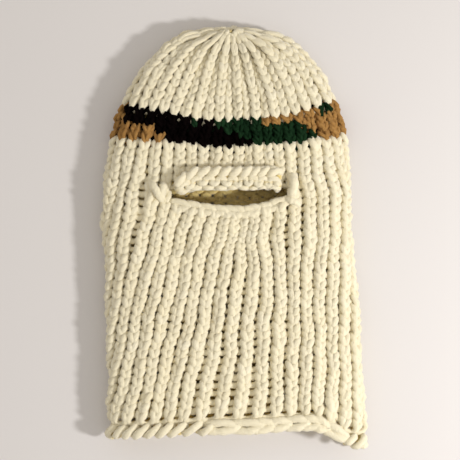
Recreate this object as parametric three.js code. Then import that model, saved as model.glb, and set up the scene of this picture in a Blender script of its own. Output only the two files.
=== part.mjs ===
// A chunky hand-knitted balaclava, lying flat with its face side up.
//
// The hood is one knitted tube, closed at the crown by a drawn thread and open at the hem. It is
// modelled course by course as the knitter works it: hem chain, neck, face, eye slot, forehead,
// colour stripe and crown. Each stretch of fabric is a closed shell of the wall's thickness.
//
// Frame: X to the wearer's left as seen from the front, Y from hem to crown, Z up from the surface
// that the hood lies on. The origin is at the middle of the footprint. Units are millimetres.

import * as THREE from "three";
import { mergeVertices } from "three/addons/utils/BufferGeometryUtils.js";

// ---- Driving dimensions -------------------------------------------------------------------------

const WALL = 10; // thickness of the knitted fabric, two strands deep
const HEIGHT = 36; // the hood lying flat, face fabric to back fabric
const FACE_HALF_WIDTH = 125.5; // half the flat width at the eye slot
const HEM_FLARE = 3; // how much wider each side is at the hem
const CROWN_TOP = 207.5; // where the crown ends
const HEM_LINE = -199.5; // where the hem chain ends, before its wave
const HEM_CHAIN = 14; // depth of the cast-off chain at the hem
const FOLD_LINE = -60; // where the neck folds up over the face
const SLOT_LINE = 38; // where the eye slot's two corners lie
const STRIPE_LOW = 98.4; // stripe's lower edge at the side seams
const STRIPE_HIGH = 133; // stripe's upper edge at the side seams
const DOME_START = 35; // where the outline begins to round in to the crown
const DOME_POWER = 3; // above 2 gives the dome full shoulders
const CROWN_HOLE_HALF_WIDTH = 15; // crown fabric stops here, bunched round the drawn thread

const SLOT_HALF_WIDTH = 66; // corner to corner of the cut in the fabric, halved
const SLOT_DROP = 15; // how far the lower lip's fabric lies below the corners
const SLOT_RISE = 6; // how far the upper lip's fabric lies above them
const LOWER_CHAIN = 8; // width of the chain along the lower lip
const LOWER_CHAIN_INSET = 12; // from each corner of the slot to the end of that chain
const LIP_INSET = 3; // from each corner of the slot to the end of the turned-up flap over it
const LIP_DEPTH = 11; // from the flap's fold to where its chain starts
const LIP_THICKNESS = 9;
const LIP_CHAIN = 8; // chain along the flap's free edge

const TOP_FLAT_HALF_WIDTH = 70; // the middle of the face fabric is level
const BASE_FLAT_HALF_WIDTH = 98; // the back fabric lies flat on the surface
const SIDE_HEIGHT = 15; // the tube's two side folds
const CROWN_END_HEIGHT = 22; // thickness of the bunched fabric at the very top
const CROWN_END_LIFT = 4; // the top's underside rises off the surface
const CROWN_END_WALL = 6; // fabric drawn thin by the gathering

const GAP = 0.3; // between pieces that touch
const YARN = 4.6; // a sewn-in end of the main yarn, pressed a little

// How the soft hood happens to lie: its middle line drifts a little and each course sags.
const DRIFT_HEM = 3.4;
const DRIFT_SLOT = -6.4;
const DRIFT_CROWN = -3.5;
const HEM_WAVE = [[-1, 1], [0, 6.5], [0.55, 10.5], [0.92, -8]]; // share of the half-width, rise
const SAG_STRIPE_LOW = 12.8;
const SAG_STRIPE_HIGH = 21;
const SAG_CROWN = 4;

// ---- Small helpers ------------------------------------------------------------------------------

const clamp01 = (t) => Math.min(1, Math.max(0, t));
const smooth = (t) => clamp01(t) ** 2 * (3 - 2 * clamp01(t));
const mix = (a, b, t) => a + (b - a) * t;

// A value that passes smoothly through the given [place, value] pairs.
function through(pairs, at) {
  for (let i = 1; i < pairs.length; i++) {
    const [start, first] = pairs[i - 1];
    const [end, last] = pairs[i];
    if (at <= end || i === pairs.length - 1) return mix(first, last, smooth((at - start) / (end - start)));
  }
  return pairs[0][1];
}

// ---- The tube's outer shape ---------------------------------------------------------------------

// How far round the dome a side point at y is, from 0 where the outline starts to curve to 1 at the top.
const domeShare = (y) => clamp01((y - DOME_START) / (CROWN_TOP - DOME_START));

// Half the outline's width where the side fold is at y.
function halfWidth(y) {
  const flare = HEM_FLARE * smooth((DOME_START - y) / (DOME_START - HEM_LINE));
  return FACE_HALF_WIDTH * (1 - domeShare(y) ** 2) ** (1 / DOME_POWER) + flare;
}

const crownEndShare = Math.sqrt(1 - (CROWN_HOLE_HALF_WIDTH / FACE_HALF_WIDTH) ** DOME_POWER);
const CROWN_END = mix(DOME_START, CROWN_TOP, crownEndShare);

// 0 below the stripe's upper edge, 1 at the gathered top.
function gathering(y) {
  const roundness = (place) => Math.sqrt(1 - domeShare(place) ** 2);
  if (y <= STRIPE_HIGH) return 0;
  const now = Math.sqrt(roundness(y) / roundness(STRIPE_HIGH));
  const end = Math.sqrt(roundness(CROWN_END) / roundness(STRIPE_HIGH));
  return (1 - now) / (1 - end);
}

const drift = (y) =>
  through([[HEM_LINE, DRIFT_HEM], [SLOT_LINE, DRIFT_SLOT], [CROWN_TOP, DRIFT_CROWN]], y);

const sag = (y) =>
  through(
    [[FOLD_LINE, 0], [STRIPE_LOW, SAG_STRIPE_LOW], [STRIPE_HIGH, SAG_STRIPE_HIGH], [CROWN_TOP, SAG_CROWN]],
    y,
  );

// The hem doesn't lie quite straight: it is drawn up right of the middle and low at one corner.
function hemWave(x, y) {
  const fade = smooth((FOLD_LINE - y) / (FOLD_LINE - HEM_LINE));
  return fade * through(HEM_WAVE, x / halfWidth(y));
}

// How open the slot is at x, from 0 at its corners to 1 in the middle, with blunt ends.
const slotOpen = (x) => Math.sqrt(Math.max(0, 1 - (Math.abs(x) / SLOT_HALF_WIDTH) ** 4));

// One closed outline of the tube, seen along Y: level base, rounded sides, level top. inset moves it
// inwards by the wall. Points run anticlockwise from the middle of the base.
const CORNER_STEPS = 5;
const FLAT_STEPS = 12;

// Half the tube's inside width at y, and half the width of its level base there.
const insideHalf = (y) => halfWidth(y) - mix(WALL, CROWN_END_WALL, gathering(y));
const levelBase = (y) => Math.min(BASE_FLAT_HALF_WIDTH, 0.82 * insideHalf(y));

function outline(y, inset) {
  const t = gathering(y);
  const wall = inset * mix(WALL, CROWN_END_WALL, t);
  const low = mix(0, CROWN_END_LIFT, t) + wall;
  const high = mix(HEIGHT, CROWN_END_LIFT + CROWN_END_HEIGHT, t) - wall;
  const side = mix(SIDE_HEIGHT, CROWN_END_LIFT + CROWN_END_HEIGHT / 2, t);
  const half = halfWidth(y) - wall;
  const baseFlat = levelBase(y);
  const topFlat = Math.min(TOP_FLAT_HALF_WIDTH, 0.6 * insideHalf(y));
  const points = [];
  const flat = (from, to, z) => {
    for (let i = 0; i < FLAT_STEPS; i++) points.push([mix(from, to, i / FLAT_STEPS), z]);
  };
  const corner = (cx, rx, cz, rz, start) => {
    for (let i = 0; i < CORNER_STEPS; i++) {
      const angle = start + (i / CORNER_STEPS) * (Math.PI / 2);
      points.push([cx + rx * Math.cos(angle), cz + rz * Math.sin(angle)]);
    }
  };
  flat(-baseFlat, baseFlat, low);
  corner(baseFlat, half - baseFlat, side, side - low, -Math.PI / 2);
  corner(topFlat, half - topFlat, side, high - side, 0);
  flat(topFlat, -topFlat, high);
  corner(-topFlat, half - topFlat, side, high - side, Math.PI / 2);
  corner(-baseFlat, half - baseFlat, side, side - low, Math.PI);
  return { points, half, side };
}

// Where the course whose side height is y lies at x, measured from the tube's middle line.
const courseAt = (x, y) => y - sag(y) * (1 - Math.min(1, (x / halfWidth(y)) ** 2)) + hemWave(x, y);

// The slot's edge at x. slot is -1 for the fabric under the eye slot and 1 for the fabric over it.
const slotEdge = (x, y, slot) => mix(courseAt(x, y), y + (slot < 0 ? -SLOT_DROP : SLOT_RISE), slotOpen(x));

// A ring of 3-D points: the outline at side height y with the course's sag, or with the slot's edge.
function ring(y, inset, slot = 0) {
  const { points, side } = outline(y, inset);
  return points.map(([x, z]) => {
    const along = slot && z > side + 2 ? slotEdge(x, y, slot) : courseAt(x, y);
    return new THREE.Vector3(x + drift(y), along, z);
  });
}

// ---- Making closed meshes -----------------------------------------------------------------------

// A mesh from rings of points, each joined to the next and, when closed is true, the last to the
// first. Without closed, both end rings are capped from their middles.
function loft(rings, closed) {
  const count = rings[0].length;
  const vertices = rings.flat().flatMap((p) => [p.x, p.y, p.z]);
  const faces = [];
  const links = closed ? rings.length : rings.length - 1;
  for (let r = 0; r < links; r++) {
    const next = (r + 1) % rings.length;
    for (let i = 0; i < count; i++) {
      const j = (i + 1) % count;
      const [a, b, c, d] = [r * count + i, r * count + j, next * count + j, next * count + i];
      // The last link is split the other way, so that two bands' facing ends have matching facets.
      if (closed && next === 0) faces.push(a, b, d, b, c, d);
      else faces.push(a, b, c, a, c, d);
    }
  }
  if (!closed) {
    for (const [r, flip] of [[0, false], [rings.length - 1, true]]) {
      const middle = rings[r].reduce((sum, p) => sum.add(p), new THREE.Vector3()).divideScalar(count);
      const hub = vertices.length / 3;
      vertices.push(middle.x, middle.y, middle.z);
      for (let i = 0; i < count; i++) {
        const pair = [r * count + i, r * count + ((i + 1) % count)];
        faces.push(hub, ...(flip ? pair : pair.reverse()));
      }
    }
  }
  const geometry = new THREE.BufferGeometry();
  geometry.setAttribute("position", new THREE.Float32BufferAttribute(vertices, 3));
  geometry.setIndex(faces);
  return mergeVertices(geometry, 1e-4);
}

// Turns a geometry's faces round if they point inwards.
function facingOut(geometry) {
  const p = geometry.getAttribute("position");
  const index = geometry.index.array;
  const [a, b, c] = [new THREE.Vector3(), new THREE.Vector3(), new THREE.Vector3()];
  let volume = 0;
  for (let i = 0; i < index.length; i += 3) {
    a.fromBufferAttribute(p, index[i]);
    b.fromBufferAttribute(p, index[i + 1]);
    c.fromBufferAttribute(p, index[i + 2]);
    volume += a.dot(b.cross(c));
  }
  if (volume < 0) for (let i = 0; i < index.length; i += 3) [index[i], index[i + 1]] = [index[i + 1], index[i]];
  return geometry;
}

// Side heights from one course to another, in even steps.
function levels(from, to, steps) {
  return Array.from({ length: steps + 1 }, (_, i) => mix(from, to, i / steps));
}

// A whole band of tube between two side heights. The slot's edge is cut at the start or the end.
function band(from, to, steps, { slotAtStart = 0, slotAtEnd = 0 } = {}) {
  const heights = levels(from, to, steps);
  const edge = (i) => (i === 0 && slotAtStart) || (i === steps && slotAtEnd) || 0;
  const outer = heights.map((y, i) => ring(y, 0, edge(i)));
  const inner = heights.map((y, i) => ring(y, 1, edge(i))).reverse();
  return facingOut(loft([...outer, ...inner], true));
}

// Moves one end slice of an arc a short way towards its neighbour, to leave a gap.
const trimmed = (slice, neighbour, amount) =>
  slice.map((p, i) => p.clone().lerp(neighbour[i], amount / p.distanceTo(neighbour[i])));

// Part of the stripe, from one point of the outline to another, as a closed shell.
function stripeArc(first, last) {
  const heights = levels(STRIPE_LOW + GAP / 2, STRIPE_HIGH - GAP / 2, 2);
  const total = outline(STRIPE_LOW, 0).points.length;
  const picks = Array.from({ length: last - first + 1 }, (_, i) => (first + i + total) % total);
  const outer = heights.map((y) => ring(y, 0));
  const inner = heights.map((y) => ring(y, 1));
  const slices = picks.map((k) => [...outer.map((r) => r[k]), ...inner.map((r) => r[k]).reverse()]);
  slices[0] = trimmed(slices[0], slices[1], GAP / 2);
  slices[slices.length - 1] = trimmed(slices.at(-1), slices.at(-2), GAP / 2);
  return facingOut(loft(slices, false));
}

// A round-ended strand along a list of centre points.
function strand(points, radiusAcross, radiusUp, sides = 8) {
  const path = new THREE.CatmullRomCurve3(points);
  const steps = Math.max(4, points.length * 3);
  const section = (t, share) => {
    const at = path.getPoint(t);
    const way = path.getTangent(t);
    const across = new THREE.Vector3(0, 0, 1).cross(way).normalize();
    const up = way.clone().cross(across);
    return Array.from({ length: sides }, (_, k) => {
      const angle = (2 * Math.PI * k) / sides;
      return at
        .clone()
        .addScaledVector(across, share * radiusAcross * Math.cos(angle))
        .addScaledVector(up, share * radiusUp * Math.sin(angle));
    });
  };
  const rings = Array.from({ length: steps + 1 }, (_, i) => {
    const t = i / steps;
    return section(t, i === 0 || i === steps ? 0.6 : 1);
  });
  return facingOut(loft(rings, false));
}

// ---- Looks --------------------------------------------------------------------------------------

const yarn = (name, colour) =>
  new THREE.MeshStandardMaterial({ name, color: new THREE.Color(colour), roughness: 0.95, metalness: 0 });

const cream = yarn("cream_wool", "#e9e0c6");
const black = yarn("black_wool", "#0b0a0c");
const green = yarn("green_wool", "#0d3a22");
const tan = yarn("tan_wool", "#b9803f");

const balaclava = new THREE.Group();

function add(name, geometry, material) {
  const mesh = new THREE.Mesh(geometry, material);
  mesh.name = name;
  balaclava.add(mesh);
}

// ---- The knitted tube, hem to crown -------------------------------------------------------------

const HEM_TOP = HEM_LINE + HEM_CHAIN;
add("hem_chain", band(HEM_LINE, HEM_TOP - GAP, 2), cream);
add("neck_tube", band(HEM_TOP, FOLD_LINE - GAP, 5), cream);
add("face_tube", band(FOLD_LINE + GAP, SLOT_LINE - GAP / 2, 4, { slotAtEnd: -1 }), cream);
add("forehead_band", band(SLOT_LINE + GAP / 2, STRIPE_LOW - GAP / 2, 3, { slotAtStart: 1 }), cream);

// The stripe is one self-striping yarn. Its colours change at these points of the outline: tan takes
// over from green where the face fabric starts to round over on the right, black meets green in the
// middle of the front, and tan meets black just short of the left side fold.
const GREEN_END = FLAT_STEPS + 2 * CORNER_STEPS;
const BLACK_END = GREEN_END + FLAT_STEPS / 2;
const BLACK_START = GREEN_END + FLAT_STEPS + 3;
const ALL_ROUND = outline(STRIPE_LOW, 0).points.length;
add("stripe_black", stripeArc(BLACK_END, BLACK_START), black);
add("stripe_green", stripeArc(GREEN_END, BLACK_END), green);
add("stripe_tan", stripeArc(BLACK_START, ALL_ROUND + GREEN_END), tan);

// The crown's courses crowd together towards the top, so its rings follow the dome's angle.
function crownLevels(steps) {
  const angle = (y) => Math.asin(domeShare(y));
  const [first, last] = [angle(STRIPE_HIGH), angle(CROWN_END)];
  return Array.from({ length: steps + 1 }, (_, i) =>
    mix(DOME_START, CROWN_TOP, Math.sin(mix(first, last, i / steps))),
  );
}

function crown(steps) {
  const heights = crownLevels(steps);
  heights[0] += GAP / 2;
  const outer = heights.map((y) => ring(y, 0));
  const inner = heights.map((y) => ring(y, 1)).reverse();
  return facingOut(loft([...outer, ...inner], true));
}
add("crown", crown(8), cream);

// ---- Closing the top ----------------------------------------------------------------------------

const crownCentre = new THREE.Vector3(
  drift(CROWN_END),
  CROWN_END - SAG_CROWN,
  CROWN_END_LIFT + CROWN_END_HEIGHT / 2,
);

// The drawn thread: a flattened ring that all of the last stitches hang on.
const THREAD_RADIUS = 1.8;

function drawnThread() {
  const radius = THREAD_RADIUS;
  const halfAcross = CROWN_HOLE_HALF_WIDTH - CROWN_END_WALL - radius - GAP;
  const halfUp = CROWN_END_HEIGHT / 2 - CROWN_END_WALL - radius - GAP;
  const rings = Array.from({ length: 20 }, (_, i) => {
    const turn = (2 * Math.PI * i) / 20;
    const out = new THREE.Vector3(Math.cos(turn), 0, Math.sin(turn));
    const at = new THREE.Vector3(halfAcross * out.x, 0, halfUp * out.z).add(crownCentre);
    return Array.from({ length: 8 }, (_, k) => {
      const angle = (2 * Math.PI * k) / 8;
      return at
        .clone()
        .addScaledVector(out, radius * Math.cos(angle))
        .add(new THREE.Vector3(0, radius * Math.sin(angle), 0));
    });
  });
  return facingOut(loft(rings, true));
}
add("crown_drawn_thread", drawnThread(), cream);

const KNOT_RADIUS = 4;
const KNOT_Y = crownCentre.y - THREAD_RADIUS - GAP - KNOT_RADIUS;
const knot = new THREE.SphereGeometry(KNOT_RADIUS, 12, 8);
knot.translate(crownCentre.x, KNOT_Y, crownCentre.z);
add("crown_knot", mergeVertices(knot.deleteAttribute("normal").deleteAttribute("uv"), 1e-4), cream);

// ---- The eye slot -------------------------------------------------------------------------------

// The chain along the lower lip lies on the face fabric's free edge and follows its curve.
function lowerChain() {
  const half = LOWER_CHAIN / 2 - GAP;
  const reach = SLOT_HALF_WIDTH - LOWER_CHAIN_INSET;
  const points = Array.from({ length: 13 }, (_, i) => {
    const x = mix(-reach, reach, i / 12);
    const y = slotEdge(x, SLOT_LINE, -1) + half + GAP;
    return new THREE.Vector3(x + drift(SLOT_LINE), y, HEIGHT - WALL / 2);
  });
  return strand(points, half, WALL / 2 + 0.5);
}
add("slot_lower_chain", lowerChain(), cream);

// The flap over the slot is turned up, so it lies on the forehead, and swings about its round lower edge.
const LIP_HALF_LENGTH = SLOT_HALF_WIDTH - LIP_INSET;
const LIP_AXIS_Y = SLOT_LINE + SLOT_RISE + 3;
const LIP_AXIS_Z = HEIGHT + GAP + LIP_THICKNESS / 2;

function lip() {
  const r = LIP_THICKNESS / 2;
  const profile = [];
  for (let i = 0; i <= 8; i++) {
    const angle = Math.PI / 2 + (Math.PI * i) / 8;
    profile.push([LIP_AXIS_Y + r * Math.cos(angle), LIP_AXIS_Z + r * Math.sin(angle)]);
  }
  profile.push([LIP_AXIS_Y + LIP_DEPTH, LIP_AXIS_Z - r], [LIP_AXIS_Y + LIP_DEPTH, LIP_AXIS_Z + r]);
  const rings = [-1, 1].map((end) =>
    profile.map(([y, z]) => new THREE.Vector3(end * LIP_HALF_LENGTH + drift(SLOT_LINE), y, z)),
  );
  return facingOut(loft(rings, false));
}
add("upper_lip", lip(), cream);

function lipChain() {
  const half = LIP_CHAIN / 2;
  const y = LIP_AXIS_Y + LIP_DEPTH + GAP + half;
  const z = HEIGHT + GAP + LIP_THICKNESS / 2 + 0.5;
  const ends = [-1, -0.33, 0.33, 1].map(
    (share) => new THREE.Vector3(share * LIP_HALF_LENGTH + drift(SLOT_LINE), y, z),
  );
  return strand(ends, half, LIP_THICKNESS / 2 + 0.5);
}
add("upper_lip_chain", lipChain(), cream);

// Overcast loops that hold each corner of the slot, outside the flap's ends.
const CORNER_STITCH = 7;
for (const [name, side] of [["slot_corner_stitch_left", -1], ["slot_corner_stitch_right", 1]]) {
  const x = side * (LIP_HALF_LENGTH + CORNER_STITCH) + drift(SLOT_LINE);
  const z = HEIGHT + GAP + CORNER_STITCH / 2;
  const points = [-1, 0, 1].map((step) => new THREE.Vector3(x, SLOT_LINE + 4 + step * 8, z));
  add(name, strand(points, CORNER_STITCH / 2, CORNER_STITCH / 2), cream);
}

// ---- Sewn-in yarn ends, inside on the back fabric ------------------------------------------------

const TAIL_INSET = 8; // from the edge of the level base
const TAIL_Z = WALL + GAP + YARN / 2;

// side is -1 for a strand near the left side fold and 1 for one near the right.
function tail(side, from, to) {
  const x = side * (Math.min(levelBase(from), levelBase(to)) - TAIL_INSET) + drift(from);
  const points = [0, 0.33, 0.66, 1].map((t) => new THREE.Vector3(x, mix(from, to, t), TAIL_Z));
  return strand(points, YARN / 2, YARN / 2);
}
add("hem_yarn_end", tail(-1, HEM_TOP + 5, HEM_TOP + 50), cream);
add("slot_yarn_end", tail(1, SLOT_LINE - 60, SLOT_LINE - 15), cream);
add("stripe_yarn_start", tail(-1, SLOT_LINE + 12, SLOT_LINE + 50), tan);
add("stripe_yarn_finish", tail(1, SLOT_LINE + 12, SLOT_LINE + 50), tan);

// The crown's end runs on from the knot, down to the back fabric.
const crownTail = [0, 0.33, 0.66, 1].map((t) => {
  const start = KNOT_Y - KNOT_RADIUS - GAP - YARN / 2;
  return new THREE.Vector3(crownCentre.x + 9 * t, start - 26 * t, mix(crownCentre.z, TAIL_Z, smooth(2 * t)));
});
add("crown_yarn_end", strand(crownTail, YARN / 2, YARN / 2), cream);

export default balaclava;
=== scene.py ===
"""The look of a chunky hand-knitted balaclava that lies flat with its face side up.

Every course is a real strand of yarn. Stitches are laid out on a grid of wales (columns, 40 round the
tube) and courses (rows, counted from the hem), and the grid is draped over the hood's shape. The knit is
worked from the hem up, so each stitch is a V on the outside and a purl bump on the inside.
Sizes are in millimetres until a mesh is made. The floor, the light and the camera are in metres.
"""

import math

import bpy
import numpy as np
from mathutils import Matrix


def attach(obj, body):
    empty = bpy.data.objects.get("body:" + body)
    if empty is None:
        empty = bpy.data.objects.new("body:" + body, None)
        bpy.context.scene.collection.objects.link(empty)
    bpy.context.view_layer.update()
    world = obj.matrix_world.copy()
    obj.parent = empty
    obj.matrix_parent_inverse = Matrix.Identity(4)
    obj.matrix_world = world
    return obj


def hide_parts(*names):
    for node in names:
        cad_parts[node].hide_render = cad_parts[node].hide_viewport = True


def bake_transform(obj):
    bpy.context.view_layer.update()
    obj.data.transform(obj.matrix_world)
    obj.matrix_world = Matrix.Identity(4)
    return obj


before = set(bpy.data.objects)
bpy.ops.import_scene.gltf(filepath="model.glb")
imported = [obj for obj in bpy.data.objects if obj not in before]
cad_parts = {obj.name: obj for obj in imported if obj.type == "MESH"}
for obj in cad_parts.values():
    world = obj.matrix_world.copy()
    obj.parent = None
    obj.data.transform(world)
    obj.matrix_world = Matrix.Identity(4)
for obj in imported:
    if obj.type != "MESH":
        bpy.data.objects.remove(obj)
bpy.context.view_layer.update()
rng = np.random.default_rng(11)
MM = 0.001

# ---- The hood's shape, the same as the CAD's -----------------------------------------------------

WALL = 10.0
HEIGHT = 36.0
FACE_HALF_WIDTH = 125.5
HEM_FLARE = 3.0
CROWN_TOP = 207.5
HEM_LINE = -199.5
HEM_TOP = -185.5
FOLD_LINE = -60.0
SLOT_LINE = 38.0
STRIPE_LOW = 98.4
STRIPE_HIGH = 133.0
DOME_START = 35.0
DOME_POWER = 3.0
CROWN_END = 206.97
CROWN_HUB = (-3.0, 203.5, 19.5)  # where the drawn thread pulls the last stitches together
CROWN_HUB_TILT = math.radians(66)
CROWN_HUB_RADIUS = 5.0
SLOT_HALF_WIDTH = 66.0
SLOT_DROP = 15.0
SLOT_RISE = 6.0
TOP_FLAT = 70.0
BASE_FLAT = 98.0
SIDE_HEIGHT = 15.0
CROWN_END_HEIGHT = 22.0
CROWN_END_LIFT = 4.0
CROWN_END_WALL = 6.0
SLOT_DRIFT = -6.4
# At each place along Y: how far the hood is shifted along X.
DRIFT = [(HEM_LINE, 3.4), (SLOT_LINE, SLOT_DRIFT), (CROWN_TOP, -3.5)]
# At each place along Y: how much lower the middle of a course lies than its ends.
SAG = [(FOLD_LINE, 0.0), (STRIPE_LOW, 12.8), (STRIPE_HIGH, 21.0), (CROWN_TOP, 4.0)]
# At each share of the half width: how far the hem is shifted along Y.
HEM_WAVE = [(-1.0, 1.0), (0.0, 6.5), (0.55, 10.5), (0.92, -8.0)]

# ---- The knit ------------------------------------------------------------------------------------

WALES = 40  # stitches round the tube
FRONT_WALES = 20  # the ones in front
SLOT_COURSE = 26  # courses from the hem to the eye slot
GAP_COURSES = 2  # courses that the slot interrupts in front
LIP_COURSES = 3  # courses in the turned-up lip
STRIPE_COURSE = 33  # first course of the stripe
CROWN_COURSE = 37  # first course above the stripe
LAST_COURSE = 48  # counted from 0
YARN = 2.95  # radius of the cream yarn where a stitch lies free
STRIPE_YARN = 2.9  # the same for the stripe's yarn
WALE = 12.75  # width of a wale where the fabric lies free
COURSE = 8.6  # height of a course
SEGMENTS = 16  # pieces of strand to a stitch
SIDES = 7  # round the strand
NECK_COURSES = 9  # courses that follow the neck, under the ones at the neck fold
FACE_COURSE = 16  # first course above the ones at the neck fold
LEFT_CORNER, RIGHT_CORNER = 5.0, 15.0  # the slot's corners, in wales
SLOT_SAG = 3.0  # how much lower the slot's lower edge hangs in the middle than the CAD's
FOREHEAD_LIFT = 5.5  # how far the forehead's lower edge lies above the slot


def smooth(t):
    t = np.clip(t, 0.0, 1.0)
    return t * t * (3 - 2 * t)


def through(pairs, at):
    """A value that passes smoothly through the given (place, value) pairs."""
    at = np.asarray(at, float)
    value = np.full(at.shape, pairs[0][1], float)
    for (start, first), (end, last) in zip(pairs, pairs[1:]):
        inside = at > start
        value = np.where(inside, first + (last - first) * smooth((at - start) / (end - start)), value)
    return value


def dome_share(y):
    """0 below the dome, 1 at the top."""
    return np.clip((y - DOME_START) / (CROWN_TOP - DOME_START), 0.0, 1.0)


def half_width(y):
    flare = HEM_FLARE * smooth((DOME_START - y) / (DOME_START - HEM_LINE))
    return FACE_HALF_WIDTH * (1 - dome_share(y) ** 2) ** (1 / DOME_POWER) + flare


def gathering(y):
    """0 below the stripe's upper edge, 1 at the gathered top."""
    def roundness(place):
        return np.sqrt(1 - dome_share(place) ** 2)

    now = np.sqrt(roundness(y) / roundness(STRIPE_HIGH))
    end = np.sqrt(roundness(CROWN_END) / roundness(STRIPE_HIGH))
    return np.where(y <= STRIPE_HIGH, 0.0, (1 - now) / (1 - end))


def side_height(v):
    """Where course v meets the side folds, along Y. The crown's courses follow the dome's curve."""
    v = np.asarray(v, float)
    low = HEM_TOP + v * (SLOT_LINE - HEM_TOP) / SLOT_COURSE
    middle = SLOT_LINE + (v - SLOT_COURSE) * (STRIPE_LOW - SLOT_LINE) / (STRIPE_COURSE - SLOT_COURSE)
    stripe_step = (STRIPE_HIGH - STRIPE_LOW) / (CROWN_COURSE - STRIPE_COURSE)
    stripe = STRIPE_LOW + (v - STRIPE_COURSE) * stripe_step
    first = math.asin(float(dome_share(STRIPE_HIGH)))
    last = math.asin(float(dome_share(CROWN_END)))
    angle = first + (last - first) * (v - CROWN_COURSE) / (LAST_COURSE - CROWN_COURSE)
    crown = DOME_START + (CROWN_TOP - DOME_START) * np.sin(np.minimum(angle, last + 0.02))
    y = np.where(v < SLOT_COURSE, low, middle)
    y = np.where(v > STRIPE_COURSE, stripe, y)
    return np.where(v > CROWN_COURSE, crown, y)


def sag(v, front):
    """How far course v lies below its ends in the middle of the hood, on the face side where front is 1.
    The crown's back is longer than its front, because it comes over the top to the drawn thread."""
    y = side_height(v)
    start = STRIPE_HIGH - float(through(SAG, STRIPE_HIGH))
    share = (v - CROWN_COURSE) / (LAST_COURSE - CROWN_COURSE)
    face_middle = start + (CROWN_HUB[1] - 2 - start) * share
    back_middle = start + (CROWN_TOP - start) * np.minimum(1, 1.3 * share)
    middle = back_middle + (face_middle - back_middle) * front
    return np.where(v > CROWN_COURSE, y - middle, through(SAG, y))


def slot_open(x, fullness):
    """How open the eye slot is at x, from 0 at its corners to 1 in the middle."""
    return np.clip(1 - (np.abs(x) / SLOT_HALF_WIDTH) ** 2, 0.0, 1.0) ** (1 / fullness)


GRID_U = 960  # points round the tube
GRID_V = 612  # rows along the tube
V_FIRST, V_LAST = -3.0, 49.4  # the first and last row, in courses
ARC_STEPS = 60  # points to each quarter or flat of the outline


def outline(y):
    """The tube's mid-surface at side height y: GRID_U points, evenly spaced, from the left fold over the
    face side to the right fold and back underneath."""
    t = float(gathering(np.asarray(y)))
    wall = (WALL + (CROWN_END_WALL - WALL) * t) / 2
    low = CROWN_END_LIFT * t + wall
    high = HEIGHT + (CROWN_END_LIFT + CROWN_END_HEIGHT - HEIGHT) * t - wall
    side = SIDE_HEIGHT + (CROWN_END_LIFT + CROWN_END_HEIGHT / 2 - SIDE_HEIGHT) * t
    outer = float(half_width(np.asarray(y)))
    half = outer - wall
    base_flat = min(BASE_FLAT, 0.82 * (outer - 2 * wall))
    top_flat = min(TOP_FLAT, 0.6 * (outer - 2 * wall))
    turn = np.linspace(0, math.pi / 2, ARC_STEPS)
    flat = np.linspace(-1, 1, ARC_STEPS)
    x = np.concatenate([
        -top_flat - (half - top_flat) * np.cos(turn),
        top_flat * flat,
        top_flat + (half - top_flat) * np.sin(turn),
        base_flat + (half - base_flat) * np.cos(turn),
        -base_flat * flat,
        -base_flat - (half - base_flat) * np.sin(turn),
    ])
    z = np.concatenate([
        side + (high - side) * np.sin(turn),
        np.full(ARC_STEPS, high),
        side + (high - side) * np.cos(turn),
        side - (side - low) * np.sin(turn),
        np.full(ARC_STEPS, low),
        side - (side - low) * np.cos(turn),
    ])
    length = np.concatenate([[0], np.cumsum(np.hypot(np.diff(x), np.diff(z)))])
    at = np.arange(GRID_U) / GRID_U * length[-1]
    return np.interp(at, length, x), np.interp(at, length, z)


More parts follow.
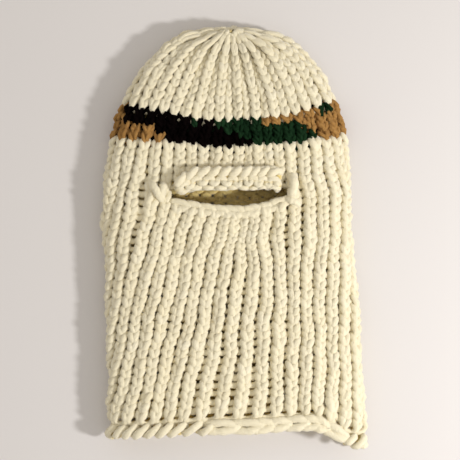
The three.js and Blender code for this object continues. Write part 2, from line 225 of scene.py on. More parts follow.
def drape():
    """The grid of surface points and outward normals, one row for each step along the courses."""
    v = np.linspace(V_FIRST, V_LAST, GRID_V)
    points = np.zeros((GRID_V, GRID_U, 3))
    for row, course in enumerate(v):
        y = float(side_height(course))
        x, z = outline(y)
        reach = float(half_width(np.asarray(y)))
        centre = 1 - np.minimum(1, (x / reach) ** 2)
        wave = smooth((FOLD_LINE - y) / (FOLD_LINE - HEM_LINE)) * through(HEM_WAVE, x / reach)
        front = smooth((z - SIDE_HEIGHT + 4) / 12)
        along = y - sag(course, front) * centre + wave
        at_corners = SLOT_LINE - float(through(SAG, SLOT_LINE)) * centre
        down = (SLOT_LINE - SLOT_DROP - SLOT_SAG - at_corners) * slot_open(x, 0.8)
        if course < SLOT_COURSE + 1:
            along = along + front * down * smooth((course - SLOT_COURSE + 8) / 8)
        if SLOT_COURSE + 1 <= course < STRIPE_COURSE:
            start = SLOT_COURSE + GAP_COURSES
            y_start = float(side_height(start))
            lowest = y_start - sag(start, front) * centre
            lift = (SLOT_LINE + SLOT_RISE + FOREHEAD_LIFT - lowest) * slot_open(x, 3.0)
            along = along + front * lift * np.clip((STRIPE_COURSE - course) / (STRIPE_COURSE - start), 0, 1)
        points[row, :, 0] = x + float(through(DRIFT, y))
        points[row, :, 1] = along
        points[row, :, 2] = z
    # The last rows are drawn together at the hub. The back's wales come over the top edge to reach it.
    drawn = smooth((v - LAST_COURSE + 3.0) / 3.6)[:, None]
    turn = 2 * math.pi * np.arange(GRID_U)[None] / GRID_U
    across, up = -np.cos(turn) * CROWN_HUB_RADIUS, np.sin(turn) * CROWN_HUB_RADIUS
    hub = np.stack([
        CROWN_HUB[0] + across,
        CROWN_HUB[1] - up * math.cos(CROWN_HUB_TILT),
        CROWN_HUB[2] + up * math.sin(CROWN_HUB_TILT),
    ], axis=-1)
    over = drawn * (1 - drawn) * np.clip(0.4 - np.sin(turn), 0, 1.4)
    points += (hub - points) * drawn[..., None]
    points[:, :, 1] += 4 * over
    # A soft hood is never quite level: broad low swells, on the face side only.
    swell = 0.9 * np.sin(points[:, :, 0] / 31 + points[:, :, 1] / 57) * np.sin(points[:, :, 1] / 43 + 0.8)
    points[:, :, 2] += swell * smooth((points[:, :, 2] - SIDE_HEIGHT) / 12)
    du = np.roll(points, -1, axis=1) - np.roll(points, 1, axis=1)
    dv = np.gradient(points, axis=0)
    normals = np.cross(dv, du)
    normals /= np.linalg.norm(normals, axis=2, keepdims=True) + 1e-12
    middle = points.mean(axis=1, keepdims=True)
    if np.sum(normals * (points - middle)) < 0:
        normals = -normals
    return points, normals


GRID, NORMALS = drape()


# Under the slot the wales are gathered, and beside its corners they are spread: (wale, turn) pairs.
GATHER_START = 16  # the course at which the gathering begins
GATHER = [
    (0.0, -0.3),
    (2.0, -0.6),
    (4.0, 0.15),
    (6.0, 0.0),
    (9.5, 0.0),
    (13.5, -0.55),
    (17.0, 0.15),
    (20.0, 0.2),
    (22.0, 0.0),
]


def lean(s, v):
    """How many wales the knit is turned round the tube. It swings to the left towards the hem, most at the
    left, so that the wales in the middle are pulled apart there."""
    place = s % WALES
    left = np.minimum(0.17 * v - 3.8, 0.6)
    right = np.minimum(0.056 * v - 1.35, 0.0) - 0.3 * smooth((v - SLOT_COURSE) / 5)
    front = smooth((place - 8) / 8)
    back = 1 - smooth((place - FRONT_WALES) / (WALES - FRONT_WALES))
    near_slot = smooth((v - GATHER_START) / 7) * (1 - smooth((v - SLOT_COURSE) / 5))
    swing = left + (right - left) * np.where(place < FRONT_WALES, front, back)
    return swing + near_slot * through(GATHER, place)


def on_grid(grid, u, v):
    """The grid's value at share u of the way round and at course v, between its four nearest points."""
    column = (u % 1.0) * GRID_U
    row = np.clip((v - V_FIRST) / (V_LAST - V_FIRST), 0, 1) * (GRID_V - 1)
    c0 = np.floor(column).astype(int)
    r0 = np.minimum(np.floor(row).astype(int), GRID_V - 2)
    fc = (column - c0)[..., None]
    fr = (row - r0)[..., None]
    c0, c1 = c0 % GRID_U, (c0 + 1) % GRID_U
    low = grid[r0, c0] * (1 - fc) + grid[r0, c1] * fc
    high = grid[r0 + 1, c0] * (1 - fc) + grid[r0 + 1, c1] * fc
    return low * (1 - fr) + high * fr


def surface(s, v):
    """Point and outward normal at wale s and course v, both counted in stitches."""
    turn = 2 * math.pi * s / WALES
    free = smooth((V_LAST - 6 - v) / 4)
    aside = free * (0.06 * np.sin(0.52 * v + 6 * turn) + 0.05 * np.sin(1.2 * v - 4 * turn))
    u = (s + aside + lean(s, v)) / WALES
    v = v + free * 0.12 * np.sin(0.31 * v + 5 * turn) * np.clip(v / 6, 0, 1)
    normal = on_grid(NORMALS, u, v)
    normal /= np.linalg.norm(normal, axis=-1, keepdims=True)
    return on_grid(GRID, u, v), normal


# ---- Strands and meshes --------------------------------------------------------------------------


PLIES = 2
PLY_LAY = 24.0  # length of one turn of the twist, about
PLY_RADIUS = 0.62  # of the whole yarn's
PLY_OFFSET = 0.52  # of the whole yarn's radius, from its middle
PLY_WANDER = 0.25  # how far each point strays


def unit(vectors):
    return vectors / (np.linalg.norm(vectors, axis=1, keepdims=True) + 1e-12)


def across_and_out(way, normals):
    """Unit vectors across a strand and out of the fabric, for the strand's direction at each centre."""
    side = unit(np.cross(unit(way), normals))
    return side, np.cross(side, unit(way))


def run_length(centres):
    steps = np.linalg.norm(np.diff(centres, axis=0), axis=1)
    return np.concatenate([[0], np.cumsum(steps)])


class Strands:
    """Collects swept strands of yarn and makes one mesh of them. Each point of the mesh has three values for
    its wool: fibre (its place along and round the strand), tint, and rise (its height in the fabric, which
    sets how much painted shade it gets)."""

    def __init__(self, name, material, body="hood", replaces=()):
        self.name, self.material, self.body, self.replaced = name, material, body, replaces
        self.points, self.quads, self.fibre, self.tint, self.rise = [], [], [], [], []
        self.count = 0

    def plies(self, centres, normals, radius, closed=False, tint=0.5, rise=0.0):
        """The same strand as thinner ones twisted together."""
        side, out = across_and_out(np.gradient(centres, axis=0), normals)
        length = run_length(centres)
        turns = max(1, round(length[-1] / PLY_LAY))
        thin = radius * PLY_RADIUS
        for ply in range(PLIES):
            angle = 2 * math.pi * (turns * length / length[-1] + ply / PLIES)
            off = (np.asarray(radius) * PLY_OFFSET)[..., None]
            moved = centres + off * (np.cos(angle)[:, None] * side + np.sin(angle)[:, None] * out)
            shade = np.asarray(tint) + rng.uniform(-0.12, 0.12)
            moved = moved + PLY_WANDER * rng.standard_normal(moved.shape)
            self.add(moved, normals, thin, thin, closed, tint=shade, rise=rise, rough=0.17)

    def add(self, centres, normals, across, deep, closed=False, tint=0.5, rise=0.0, rough=0.05):
        """across and deep are the strand's radii along and out of the fabric, for each centre. rise is how
        far its centre lies outside the wall's middle, and rough is how knobbly its surface is. Each point's
        rise, with its height round the strand added, sets how much painted shade it gets, so the back of a
        strand gets the most."""
        n = len(centres)
        lumps = 1 + 0.04 * np.sin(np.arange(n) * 0.83 + 9 * rng.random()) + 0.05 * rng.standard_normal(n)
        across = np.asarray(across, float) * lumps
        deep = np.asarray(deep, float) * lumps
        if closed:
            way = np.roll(centres, -1, axis=0) - np.roll(centres, 1, axis=0)
        else:
            way = np.gradient(centres, axis=0)
            across[[0, -1]] *= 0.35
            deep[[0, -1]] *= 0.35
        side, out = across_and_out(way, normals)
        angle = 2 * math.pi * np.arange(SIDES) / SIDES
        knobs = 1 + rough * rng.standard_normal((n, SIDES))
        ring = (
            centres[:, None]
            + side[:, None] * (across[:, None] * np.cos(angle) * knobs)[..., None]
            + out[:, None] * (deep[:, None] * np.sin(angle) * knobs)[..., None]
        )
        length = run_length(centres)
        turned = angle[None] + 0.25 * length[:, None]
        base = self.count
        i = np.arange(n if closed else n - 1)[:, None]
        k = np.arange(SIDES)[None]
        j = (i + 1) % n
        k1 = (k + 1) % SIDES
        quads = np.stack([i * SIDES + k, i * SIDES + k1, j * SIDES + k1, j * SIDES + k], axis=-1)
        self.quads.append(quads.reshape(-1, 4) + base)
        self.points.append(ring.reshape(-1, 3))
        start = rng.random() * 400
        fibre = np.stack(
            [np.broadcast_to(start + length[:, None], turned.shape), 3 * np.cos(turned), 3 * np.sin(turned)],
            axis=-1,
        )
        self.fibre.append(fibre.reshape(-1, 3))
        self.tint.append(np.repeat(np.broadcast_to(np.asarray(tint, float), (n,)), SIDES))
        height = np.broadcast_to(np.asarray(rise, float), (n,))[:, None]
        self.rise.append((height + deep[:, None] * np.sin(angle)).ravel())
        self.count += n * SIDES
        if not closed:
            self.cap(base, fibre, 0, centres[0])
            self.cap(base + (n - 1) * SIDES, fibre, n - 1, centres[n - 1])

    def cap(self, first, fibre, end, centre):
        """Closes a strand's end with a fan of triangles. first is the end ring's first point, and a
        triangle is a quad whose last corner is -1."""
        ring = first + np.arange(SIDES)
        following = np.roll(ring, -1)
        pair = [following, ring] if end == 0 else [ring, following]
        self.quads.append(np.stack([*pair, np.full(SIDES, self.count), np.full(SIDES, -1)], axis=-1))
        self.points.append(centre[None])
        self.fibre.append(fibre[end, :1])
        self.tint.append(self.tint[-1][-1:])
        self.rise.append(self.rise[-1][-1:])
        self.count += 1

    def build(self):
        points = np.concatenate(self.points) * MM
        points[:, 2] = np.maximum(points[:, 2], 0.0)  # yarn on the floor is pressed flat
        quads = np.concatenate(self.quads)
        fours = quads[quads[:, 3] >= 0]
        threes = quads[quads[:, 3] < 0][:, :3]
        mesh = bpy.data.meshes.new(self.name)
        mesh.vertices.add(len(points))
        mesh.vertices.foreach_set("co", points.ravel())
        corners = np.concatenate([fours.ravel(), threes.ravel()])
        mesh.loops.add(len(corners))
        mesh.loops.foreach_set("vertex_index", corners)
        starts = np.concatenate([
            4 * np.arange(len(fours)),
            4 * len(fours) + 3 * np.arange(len(threes)),
        ])
        mesh.polygons.add(len(starts))
        mesh.polygons.foreach_set("loop_start", starts)
        mesh.polygons.foreach_set("use_smooth", np.ones(len(starts), bool))
        mesh.update(calc_edges=True)
        fibre = mesh.attributes.new("fibre", "FLOAT_VECTOR", "POINT")
        fibre.data.foreach_set("vector", np.concatenate(self.fibre).ravel())
        tint = mesh.attributes.new("tint", "FLOAT", "POINT")
        tint.data.foreach_set("value", np.concatenate(self.tint))
        rise = mesh.attributes.new("rise", "FLOAT", "POINT")
        rise.data.foreach_set("value", np.concatenate(self.rise))
        mesh.materials.append(self.material)
        piece = bpy.data.objects.new(self.name, mesh)
        bpy.context.scene.collection.objects.link(piece)
        if self.body:
            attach(piece, self.body)
        if self.replaced:
            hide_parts(*self.replaced)
        return piece


# ---- Wool ----------------------------------------------------------------------------------------


PAINTED_SHADE_FULL, PAINTED_SHADE_NONE = -3.0, 0.6  # painted shade: wool below the first height gets all of the darker colour deep, and wool above the second gets none
FIBRE_RELIEF = 0.0025  # in metres, as shaders want it


def wool(name, deep, dark, light, streak=0.5, sheen=0.25, bump=0.9, specular=0.12):
    """Soft unspun-looking wool. Fibres run along the strand in shades from dark to light, and the shade
    varies a little from stitch to stitch. Wool low in the fabric is painted in the colour deep. This darker
    ochre is painted shade, standing in for shade and for light that has passed through wool."""
    material = bpy.data.materials.new(name)
    material.use_nodes = True
    nodes, links = material.node_tree.nodes, material.node_tree.links
    shader = nodes["Principled BSDF"]
    shader.inputs["Roughness"].default_value = 0.92
    shader.inputs["Specular IOR Level"].default_value = specular
    shader.inputs["Sheen Weight"].default_value = sheen
    shader.inputs["Sheen Roughness"].default_value = 0.45

    def node(kind, **values):
        made = nodes.new(kind)
        for key, value in values.items():
            if isinstance(value, (int, float, tuple)) and key in made.inputs:
                made.inputs[key].default_value = value
            else:
                setattr(made, key, value)
        return made

    fibre = node("ShaderNodeAttribute", attribute_name="fibre")
    tint = node("ShaderNodeAttribute", attribute_name="tint")
    stretched = node("ShaderNodeMapping")
    stretched.inputs["Scale"].default_value = (0.35, 1.1, 1.1)
    links.new(fibre.outputs["Vector"], stretched.inputs["Vector"])
    fibres = node("ShaderNodeTexNoise", Scale=1.0, Detail=4.0, Roughness=0.65)
    links.new(stretched.outputs["Vector"], fibres.inputs["Vector"])
    grain = node("ShaderNodeTexNoise", Scale=0.55, Detail=4.0, Roughness=0.7)
    links.new(fibre.outputs["Vector"], grain.inputs["Vector"])
    ramp = node("ShaderNodeMapRange")
    ramp.inputs["From Min"].default_value = 0.5 - streak / 2
    ramp.inputs["From Max"].default_value = 0.5 + streak / 2
    links.new(fibres.outputs["Fac"], ramp.inputs["Value"])
    blend = node("ShaderNodeMath", operation="ADD")
    shade = node("ShaderNodeMath", operation="MULTIPLY_ADD")
    shade.inputs[1].default_value = 0.55
    shade.inputs[2].default_value = -0.05
    links.new(tint.outputs["Fac"], shade.inputs[0])
    scaled = node("ShaderNodeMath", operation="MULTIPLY")
    scaled.inputs[1].default_value = 0.5
    links.new(ramp.outputs["Result"], scaled.inputs[0])
    links.new(scaled.outputs["Value"], blend.inputs[0])
    links.new(shade.outputs["Value"], blend.inputs[1])
    blend.use_clamp = True
    colour = node("ShaderNodeMix", data_type="RGBA")
    colour.inputs["A"].default_value = (*dark, 1)
    colour.inputs["B"].default_value = (*light, 1)
    links.new(blend.outputs["Value"], colour.inputs["Factor"])
    # Painted shade: the lower a point lies in the fabric (its rise), the more its colour turns to deep.
    rise = node("ShaderNodeAttribute", attribute_name="rise")
    painted_shade_share = node("ShaderNodeMapRange", interpolation_type="SMOOTHSTEP")
    painted_shade_share.inputs["From Min"].default_value = PAINTED_SHADE_FULL
    painted_shade_share.inputs["From Max"].default_value = PAINTED_SHADE_NONE
    links.new(rise.outputs["Fac"], painted_shade_share.inputs["Value"])
    painted_shade_mix = node("ShaderNodeMix", data_type="RGBA")
    painted_shade_mix.inputs["A"].default_value = (*deep, 1)
    links.new(colour.outputs["Result"], painted_shade_mix.inputs["B"])
    links.new(painted_shade_share.outputs["Result"], painted_shade_mix.inputs["Factor"])
    links.new(painted_shade_mix.outputs["Result"], shader.inputs["Base Color"])
    height = node("ShaderNodeMath", operation="ADD")
    links.new(fibres.outputs["Fac"], height.inputs[0])
    links.new(grain.outputs["Fac"], height.inputs[1])
    relief = node("ShaderNodeBump")
    relief.inputs["Strength"].default_value = bump
    relief.inputs["Distance"].default_value = FIBRE_RELIEF
    links.new(height.outputs["Value"], relief.inputs["Height"])
    links.new(relief.outputs["Normal"], shader.inputs["Normal"])
    return material


# Each wool's colour deep is painted shade for wool that lies low in the fabric. dark and light are its
# fibres' own shades.
CREAM = wool(
    "cream_wool",
    deep=(0.86, 0.68, 0.27),
    dark=(0.91, 0.81, 0.54),
    light=(0.95, 0.89, 0.70),
    streak=0.65,
    sheen=0.6,
    bump=0.6,
)
BLACK = wool(
    "black_wool",
    deep=(0.001, 0.0005, 0.0005),
    dark=(0.001, 0.0005, 0.0005),
    light=(0.006, 0.003, 0.003),
    sheen=0.0,
    specular=0.02,
)
GREEN = wool(
    "green_wool",
    deep=(0.001, 0.006, 0.003),
    dark=(0.001, 0.008, 0.003),
    light=(0.026, 0.078, 0.03),
    sheen=0.0,
    specular=0.03,
)
TAN = wool(
    "tan_wool",
    deep=(0.18, 0.075, 0.018),
    dark=(0.38, 0.18, 0.048),
    light=(0.72, 0.41, 0.125),
    sheen=0.05,
)

# ---- Stitches ------------------------------------------------------------------------------------

# One stitch, over t from -pi to pi: a narrow V whose two legs lie in front, a head behind the next V,
# and a long bar behind that runs on to the next wale.
LEG = 1.8  # from the middle of a wale to either leg
SPREAD = 2.65  # how much the legs spread towards the top
RISE = 0.84  # half a stitch's height, in courses
DEPTH = 2.4  # from the wall's middle out to the legs, and in to the head and the bar
PLEAT = 3.4  # how far a crowded wale is pushed out or sinks
CROWDED = 11.0  # wales narrower than this are pushed out or sink


def wander(count, amount):
    return amount * rng.standard_normal(count)


class Course:
    """The numbers that make the stitches of one course differ from each other."""

    def __init__(self, index):
        self.index = index
        self.rise = 1 + wander(WALES, 0.07)
        self.shift = wander(WALES, 0.03)
        self.lift = wander(WALES, 0.45)
        self.thick = 1 + wander(WALES, 0.06)
        self.up = wander(WALES, 0.04)
        self.tilt = np.sin(np.arange(WALES) * 2.4 + index * 0.23) + wander(WALES, 0.3)
        loose = rng.random(WALES) < 0.025
        self.rise = self.rise + 0.16 * loose
        self.thick = self.thick + 0.12 * loose
        self.lift = self.lift + 1.1 * loose
        self.tint = 0.5 + wander(WALES, 0.16)

    def along(self, values, s):
        """The stitches' values, each in the middle of its wale, at wale s."""
        return np.interp(s - 0.5, np.arange(-1, WALES + 1), np.r_[values[-1], values, values[0]])

    def at(self, place, pitch, depth, on):
        """Centre line, normals, leg share, wale and height of the strand at each place along the course."""
        t = 2 * math.pi * ((place % 1.0) - 0.5)
        ring = place % WALES
        leg = -np.cos(2 * t)
        # Where the wales are crowded together, every other one is pushed out and the rest sink.
        fold = np.clip((CROWDED - pitch) / 6, 0, 1) * np.sin(math.pi * ring)
        size = np.clip(pitch / WALE, 0.2, 2.0) ** 0.45 * (1 + 0.4 * fold)
        apart = np.minimum(LEG * size / pitch, 0.16 + 0.08 * fold) - 0.25
        spread = np.minimum(SPREAD * size / pitch, 0.25)
        s = place + apart * np.sin(t) + spread * np.sin(2 * t) + self.along(self.shift, ring)
        v = self.index + 0.5 + RISE * self.along(self.rise, ring) * np.cos(t) + self.along(self.up, ring)
        point, normal = on(s, v)
        out = depth * leg + self.along(self.lift, ring) + self.along(self.tilt, ring) * np.sin(t)
        out = out + PLEAT * fold
        return point + out[:, None] * normal, normal, leg + 1.5 * fold, ring, out

    def pitch(self, place):
        """Width of a wale here, in millimetres."""
        v = np.full(place.shape, self.index + 0.5)
        left, _ = surface(place - 0.5, v)
        right, _ = surface(place + 0.5, v)
        return np.linalg.norm(right - left, axis=1)


COURSES = [Course(i) for i in range(LAST_COURSE + 1)]


def knit(target, index, first=0.0, last=float(WALES), yarn=YARN, plied=False, on=surface, side=1.0):
    """Adds stitches of one course to a piece, as a closed ring if they go all the way round. on gives the
    fabric's surface, and side is -1 where its purl side is the one that is seen."""
    course = COURSES[index]
    whole = last - first >= WALES
    count = int(round((last - first) * SEGMENTS))
    place = first + np.arange(count + (0 if whole else 1)) / SEGMENTS
    pitch = course.pitch(place)
    squeeze = np.clip(pitch / WALE, 0.25, 1.3)
    depth = DEPTH * (0.75 + 0.25 * squeeze)
    point, normal, leg, ring, out = course.at(place, pitch, depth, on)
    radius = yarn * squeeze**0.35 * course.along(course.thick, ring) * (1.10 + 0.08 * leg)
    tint = course.along(course.tint, ring)
    if plied:
        target.plies(point, normal, radius, closed=whole, tint=tint, rise=side * out)
    else:
        # rise sets the painted shade, which is strongest where the strand goes behind the fabric. Seen from
        # the purl side, rise is lifted by 2 so that the lip gets less painted shade.
        rise = side * out + 1 - side
        target.add(point, normal, radius, radius * 0.95, closed=whole, tint=tint, rise=rise)


neck = Strands("neck_knit", CREAM, "neck", ["neck_tube"])
for index in range(NECK_COURSES):
    knit(neck, index)
neck.build()

bend = Strands("neck_fold_knit", CREAM, None)
for index in range(NECK_COURSES, FACE_COURSE):
    knit(bend, index)
bend_piece = bend.build()
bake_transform(bend_piece)

face = Strands("face_knit", CREAM, "hood", ["face_tube"])
for index in range(FACE_COURSE, SLOT_COURSE):
    knit(face, index)
face.build()

forehead = Strands("forehead_knit", CREAM, "hood", ["forehead_band"])
for index in range(SLOT_COURSE, SLOT_COURSE + GAP_COURSES):
    knit(forehead, index, RIGHT_CORNER, LEFT_CORNER + WALES)
for index in range(SLOT_COURSE + GAP_COURSES, STRIPE_COURSE):
    knit(forehead, index)
forehead.build()

# The stripe is one self-striping yarn of two thinner strands. For each of its courses, from the lowest:
# where each colour starts, counted in wales from the left side fold, and where the course comes round.
stripe = {
    "black": Strands("stripe_black_knit", BLACK, "hood", ["stripe_black"]),
    "green": Strands("stripe_green_knit", GREEN, "hood", ["stripe_green"]),
    "tan": Strands("stripe_tan_knit", TAN, "hood", ["stripe_tan"]),
}
COLOURS = [
    [(3.9, "black"), (12.0, "green"), (18.1, "tan"), (43.9, "end")],
    [(2.9, "black"), (10.6, "green"), (17.3, "tan"), (42.9, "end")],
    [(0.4, "black"), (9.1, "green"), (16.4, "tan"), (40.4, "end")],
    [
        (0.1, "black"), (5.9, "green"), (6.5, "black"), (7.9, "green"),
        (13.0, "tan"), (18.4, "green"), (19.4, "tan"), (40.1, "end"),
    ],
]
for row, spans in enumerate(COLOURS):
    for (start, colour), (end, _) in zip(spans, spans[1:]):
        knit(stripe[colour], STRIPE_COURSE + row, start, end, STRIPE_YARN, plied=True)
for part in stripe.values():
    part.build()

crown = Strands("crown_knit", CREAM, "hood", ["crown"])
for index in range(CROWN_COURSE, LAST_COURSE + 1):
    knit(crown, index)
crown.build()

# ---- Cast-off edges ------------------------------------------------------------------------------


def spline(keys, per_key):
    """A smooth line through the key points, with per_key steps from each to the next."""
    keys = np.asarray(keys, float)
    before = np.concatenate([[2 * keys[0] - keys[1]], keys[:-1]])
    after = np.concatenate([keys[1:], [2 * keys[-1] - keys[-2]]])
    slope = (after - before) / 2
    t = (np.arange(per_key) / per_key)[None, :, None]
    a, b, m, n = keys[:-1, None], keys[1:, None], slope[:-1, None], slope[1:, None]
    line = a * (2 * t**3 - 3 * t**2 + 1) + m * (t**3 - 2 * t**2 + t)
    line = line + b * (3 * t**2 - 2 * t**3) + n * (t**3 - t**2)
    return np.concatenate([line.reshape(-1, keys.shape[1]), keys[-1:]])


# One link of a crochet-like chain: share of a link along, share of the width across, share of the depth out.
LINK = [
    (0.0, -0.25, -1.0),
    (0.3, -0.45, 0.0),
    (1.0, -0.5, 0.6),
    (1.7, 0.0, 0.2),
    (1.0, 0.5, 0.6),
    (0.3, 0.45, 0.0),
    (0.0, 0.25, -1.0),
]
LINK_STEPS = 5  # from one point of a link to the next
ROPE_STEPS = 14  # to a turn


def chain(target, first, last, v, width, depth, yarn, link, lift):
    """A chain of loops along course v, from wale first to wale last. Each link is so many wales long."""
    keys = []
    for number in range(int((last - first) / link)):
        wobble = 1 + 0.10 * rng.standard_normal(3)
        shift = 0.05 * rng.standard_normal()
        for along, across, out in LINK:
            keys.append((
                first + link * (number + shift + along * wobble[0]),
                width * across * wobble[1],
                depth * out * wobble[2] + lift,
            ))
    line = spline(keys, LINK_STEPS)
    point, normal = surface(line[:, 0], v + line[:, 1] / COURSE)
    shade = 0.5 + 0.12 * np.sin(np.arange(len(line)) / 19.0)
    # rise, lifted by 1, sets the chain's painted shade. The backs of its links get the most.
    target.add(point + line[:, 2:] * normal, normal, yarn, yarn * 0.92, tint=shade, rise=line[:, 2] + 1)


def rope(target, first, last, v, radius, yarn, link, lift=0.0, on=surface, up=1.0):
    """Yarn that is wrapped round the edge at course v: slanting strands side by side, one to each link of
    so many wales. They slant the other way where up is -1."""
    count = int((last - first) / link * ROPE_STEPS)
    q = np.linspace(0, (last - first) / link, count)
    turn = 2 * math.pi * q + 0.25 * np.sin(q * 1.7)
    along = first + link * (q - 0.17 * np.cos(turn))
    size = radius * (1 + 0.08 * np.sin(q * 2.3))
    out = size * np.sin(turn) + lift
    point, normal = on(along, v - up * size * np.cos(turn) / COURSE)
    below = normal[:, 2] < 0
    point = point + (out * np.where(below, 0.6, 1.0))[:, None] * normal
    shade = 0.5 + 0.10 * np.sin(q * 1.3)
    # rise, lifted by 1, sets the rope's painted shade. It gets the most where it wraps behind the edge.
    target.add(point, normal, yarn, yarn * 0.95, tint=shade, rise=out + 1)


hem = Strands("hem_cast_off", CREAM, "neck", ["hem_chain"])
chain(hem, 11.0, 19.7, -1.15, width=8.4, depth=3.4, yarn=4.1, link=1.0, lift=0.8)
rope(hem, 19.9, 51.2, -1.2, radius=4.2, yarn=3.7, link=0.86)
hem.build()

lower_lip = Strands("lower_lip_cast_off", CREAM, "hood", ["slot_lower_chain"])
chain(lower_lip, LEFT_CORNER, 14.8, 26.1, width=6.6, depth=2.6, yarn=3.5, link=0.95, lift=1.2)
lower_lip.build()

# ---- The turned-up lip ---------------------------------------------------------------------------

LIP_HALF_LENGTH = 63.0
LIP_LEFT, LIP_RIGHT = 5.5, 14.5  # the lip's ends, in wales
LIP_START = SLOT_COURSE + GAP_COURSES + 0.2  # the course that it leaves the forehead at
LIP_EDGE = 24.95  # the course of its cast-off edge
LIP_COURSE = 8.1  # height of a course in the lip
CURL_Y, CURL_Z, CURL_RADIUS = 49.8, 35.7, 4.6  # middle and radius of its curl
FLAT_BEFORE_CURL = 3.0
END_DROP = 8.0  # how much lower the curl lies at the two ends of the slot


def lip_surface(s, v):
    """The lip's fabric leaves the forehead's lower edge, curls outwards and lies on the forehead, so that
    its inner side, with the purl bumps, is on top. Its ends are lower than its middle."""
    edge, _ = surface(s, np.full(np.shape(s), LIP_START))
    x = edge[..., 0] - SLOT_DRIFT
    taper = smooth((x + LIP_HALF_LENGTH + 3) / 36) * smooth((LIP_HALF_LENGTH + 6 - x) / 18)
    run = (LIP_START - v) * LIP_COURSE * (0.6 + 0.4 * taper)
    half_turn = math.pi * CURL_RADIUS
    angle = np.clip((run - FLAT_BEFORE_CURL) / CURL_RADIUS, 0, math.pi)
    beyond = np.maximum(run - FLAT_BEFORE_CURL - half_turn, 0)
    before = np.maximum(FLAT_BEFORE_CURL - run, 0)
    arch = smooth((x + LIP_HALF_LENGTH + 4) / 42) * smooth((LIP_HALF_LENGTH + 4 - x) / 24)
    y = CURL_Y - END_DROP * (1 - arch) + before - CURL_RADIUS * np.sin(angle) + beyond
    z = CURL_Z - CURL_RADIUS * np.cos(angle)
    normal = np.stack([np.zeros_like(y), np.sin(angle), np.cos(angle)], axis=-1)
    return np.stack([edge[..., 0], y, z], axis=-1), normal


def lip_over(s, v):
    """The same fabric, seen from its purl side."""
    point, normal = lip_surface(s, v)
    return point, -normal


lip = Strands("upper_lip_knit", CREAM, None, ["upper_lip"])
lip_first = SLOT_COURSE + GAP_COURSES - 1
for index in range(lip_first, lip_first - LIP_COURSES, -1):
    knit(lip, index, LIP_LEFT, LIP_RIGHT, on=lip_surface, side=-1.0)
lip_piece = lip.build()
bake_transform(lip_piece)

lip_edge = Strands("upper_lip_cast_off", CREAM, "lip", ["upper_lip_chain"])
rope(lip_edge, LIP_LEFT, 14.6, LIP_EDGE, radius=2.7, yarn=4.0, link=0.92, lift=1.0, on=lip_over, up=-1.0)
lip_edge.build()

# ---- Slot corners --------------------------------------------------------------------------------


STRAND_STEPS = 6  # from one point of a free strand to the next
TAIL_STEPS = 8


def strand(target, line, yarn, steps=STRAND_STEPS, tint=0.5):
    """A free strand through points in millimetres."""
    path = spline(line, steps)
    up = np.tile([0.0, 0.0, 1.0], (len(path), 1))
    # rise 3.0 gives free strands less painted shade.
    target.add(path, up, yarn, yarn, tint=tint, rise=3.0)


left = Strands("slot_corner_stitch_left", CREAM, "hood", ["slot_corner_stitch_left"])
strand(left, [(-82, 50, 31), (-79, 45, 38), (-75, 39, 39), (-71, 32, 33)], 4.3)
strand(left, [(-72, 31, 32), (-71, 37, 37), (-70, 43, 38), (-69, 48, 33)], 3.9, tint=0.6)
strand(left, [(-88, 26, 30), (-84, 31, 35), (-81, 37, 35), (-81, 42, 30)], 3.5, tint=0.45)
left.build()

right = Strands("slot_corner_stitch_right", CREAM, "hood", ["slot_corner_stitch_right"])
strand(right, [(57, 56, 32), (58, 53, 38), (59, 47, 41), (58, 40, 40), (56, 36, 34)], 4.8)
strand(right, [(50, 34, 33), (55, 32, 37), (60, 30, 37), (65, 27, 32)], 3.5, tint=0.6)
right.build()

# ---- Drawn thread, knot and yarn ends ------------------------------------------------------------

COIL_TURNS = 2.2
COIL_RADIUS = 4.2  # where the coil begins
THREAD_STEPS = 60
THREAD = 2.0  # radius of the drawn thread
KNOT_THREAD = 1.4  # radius of the thread in the knot

thread = Strands("crown_drawn_thread", CREAM, "hood", ["crown_drawn_thread"])
turn = np.linspace(0, 2 * math.pi * COIL_TURNS, THREAD_STEPS)
winding = COIL_RADIUS - 0.24 * turn
coil = np.stack([
    CROWN_HUB[0] + winding * np.cos(turn),
    CROWN_HUB[1] - winding * np.sin(turn) * math.cos(CROWN_HUB_TILT) + 0.8,
    CROWN_HUB[2] + winding * np.sin(turn) * math.sin(CROWN_HUB_TILT),
], axis=-1)
# rise 2.0 gives the drawn thread less painted shade.
thread.add(coil, np.tile([0.0, 0.9, 0.4], (THREAD_STEPS, 1)), THREAD, THREAD, rise=2.0)
thread.build()

# The sewn-in yarn ends: their node's name, body, wool, radius and route along the inside of the back.
TAILS = [
    (
        "hem_yarn_end", "neck", CREAM, 2.1,
        [(-86, -182, 12), (-87, -168, 12.6), (-85, -152, 12.3), (-88, -136, 12)],
    ),
    (
        "slot_yarn_end", "hood", CREAM, 2.1,
        [(82, -22, 12), (83, -6, 12.6), (81, 9, 12.3), (82, 23, 12)],
    ),
    (
        "stripe_yarn_start", "hood", TAN, 1.8,
        [(-88, 50, 12), (-89, 63, 12.6), (-87, 76, 12.3), (-88, 88, 12)],
    ),
    (
        "stripe_yarn_finish", "hood", TAN, 1.8,
        [(76, 50, 12), (77, 62, 12.6), (75, 75, 12.3), (76, 88, 12)],
    ),
    (
        "crown_yarn_end", "hood", CREAM, 2.1,
        [(-3, 189, 14), (0, 182, 12.8), (3, 172, 12.6), (5, 163, 12.4)],
    ),
]
for node, body, material, yarn, route in TAILS:
    tail = Strands(node, material, body, [node])
    strand(tail, route, yarn, TAIL_STEPS)
    tail.build()

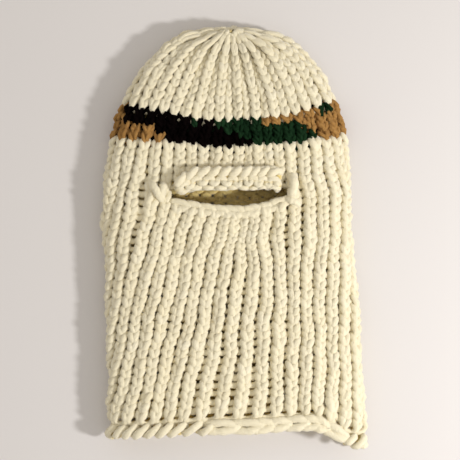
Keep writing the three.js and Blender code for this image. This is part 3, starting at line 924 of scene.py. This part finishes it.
knot = Strands("crown_knot", CREAM, "hood", ["crown_knot"])
turn = np.linspace(0, 2 * math.pi, THREAD_STEPS)
trefoil = np.stack([
    -3.5 + 2.2 * np.sin(turn) + 1.2 * np.sin(2 * turn),
    197 + 2.0 * np.cos(turn) - 1.2 * np.cos(2 * turn),
    15 - 1.8 * np.sin(3 * turn),
], axis=-1)
# rise 3.0 gives the knot less painted shade.
knot.add(trefoil, np.tile([0.0, 0.0, 1.0], (THREAD_STEPS, 1)), KNOT_THREAD, KNOT_THREAD, rise=3.0)
knot.build()

# ---- Floor, light and camera ---------------------------------------------------------------------


FLOOR_REACH = 6.0
KEY_PLACE = (1.02, -0.34, 0.80)
LENS, SENSOR = 85.0, 36.0  # of the camera, in millimetres
ELEVATION = math.radians(84)  # how steeply the camera looks down
TARGET = np.array([-0.0039, 0.004, 0.018])
DISTANCE = 1.085  # from the target to the camera


def plain(name, colour, roughness):
    material = bpy.data.materials.new(name)
    material.use_nodes = True
    shader = material.node_tree.nodes["Principled BSDF"]
    shader.inputs["Base Color"].default_value = (*colour, 1)
    shader.inputs["Roughness"].default_value = roughness
    return material


def aim(thing, target):
    """Turns a light or camera so that it looks at the target."""
    offset = np.array(target, float) - np.array(thing.location, float)
    direction = offset / np.linalg.norm(offset)
    thing.rotation_euler = (math.acos(-direction[2]), 0.0, math.atan2(-direction[0], direction[1]))


floor_corners = [
    (-FLOOR_REACH, -FLOOR_REACH, 0),
    (FLOOR_REACH, -FLOOR_REACH, 0),
    (FLOOR_REACH, FLOOR_REACH, 0),
    (-FLOOR_REACH, FLOOR_REACH, 0),
]
floor_mesh = bpy.data.meshes.new("floor")
floor_mesh.from_pydata(floor_corners, [], [(0, 1, 2, 3)])
floor_mesh.materials.append(plain("floor_paper", (0.715, 0.69, 0.676), roughness=0.8))
floor = bpy.data.objects.new("floor", floor_mesh)
bpy.context.scene.collection.objects.link(floor)

key_data = bpy.data.lights.new("key", "AREA")
key_data.shape = "DISK"
key_data.size = 0.14
key_data.energy = 12.9
key_data.color = (1.0, 0.985, 0.98)
key = bpy.data.objects.new("key", key_data)
key.location = KEY_PLACE
aim(key, (0, 0, 0))
bpy.context.scene.collection.objects.link(key)

world = bpy.data.worlds.new("studio")
world.use_nodes = True
background = world.node_tree.nodes["Background"]
background.inputs["Color"].default_value = (1.0, 0.95, 0.89, 1)
background.inputs["Strength"].default_value = 0.64
bpy.context.scene.world = world
bpy.context.scene.view_settings.view_transform = "Standard"

camera_data = bpy.data.cameras.new("camera")
camera_data.sensor_width = SENSOR
camera_data.lens = LENS
camera = bpy.data.objects.new("camera", camera_data)
camera.location = TARGET + DISTANCE * np.array([0, -math.cos(ELEVATION), math.sin(ELEVATION)])
aim(camera, TARGET)
bpy.context.scene.collection.objects.link(camera)
bpy.context.scene.camera = camera
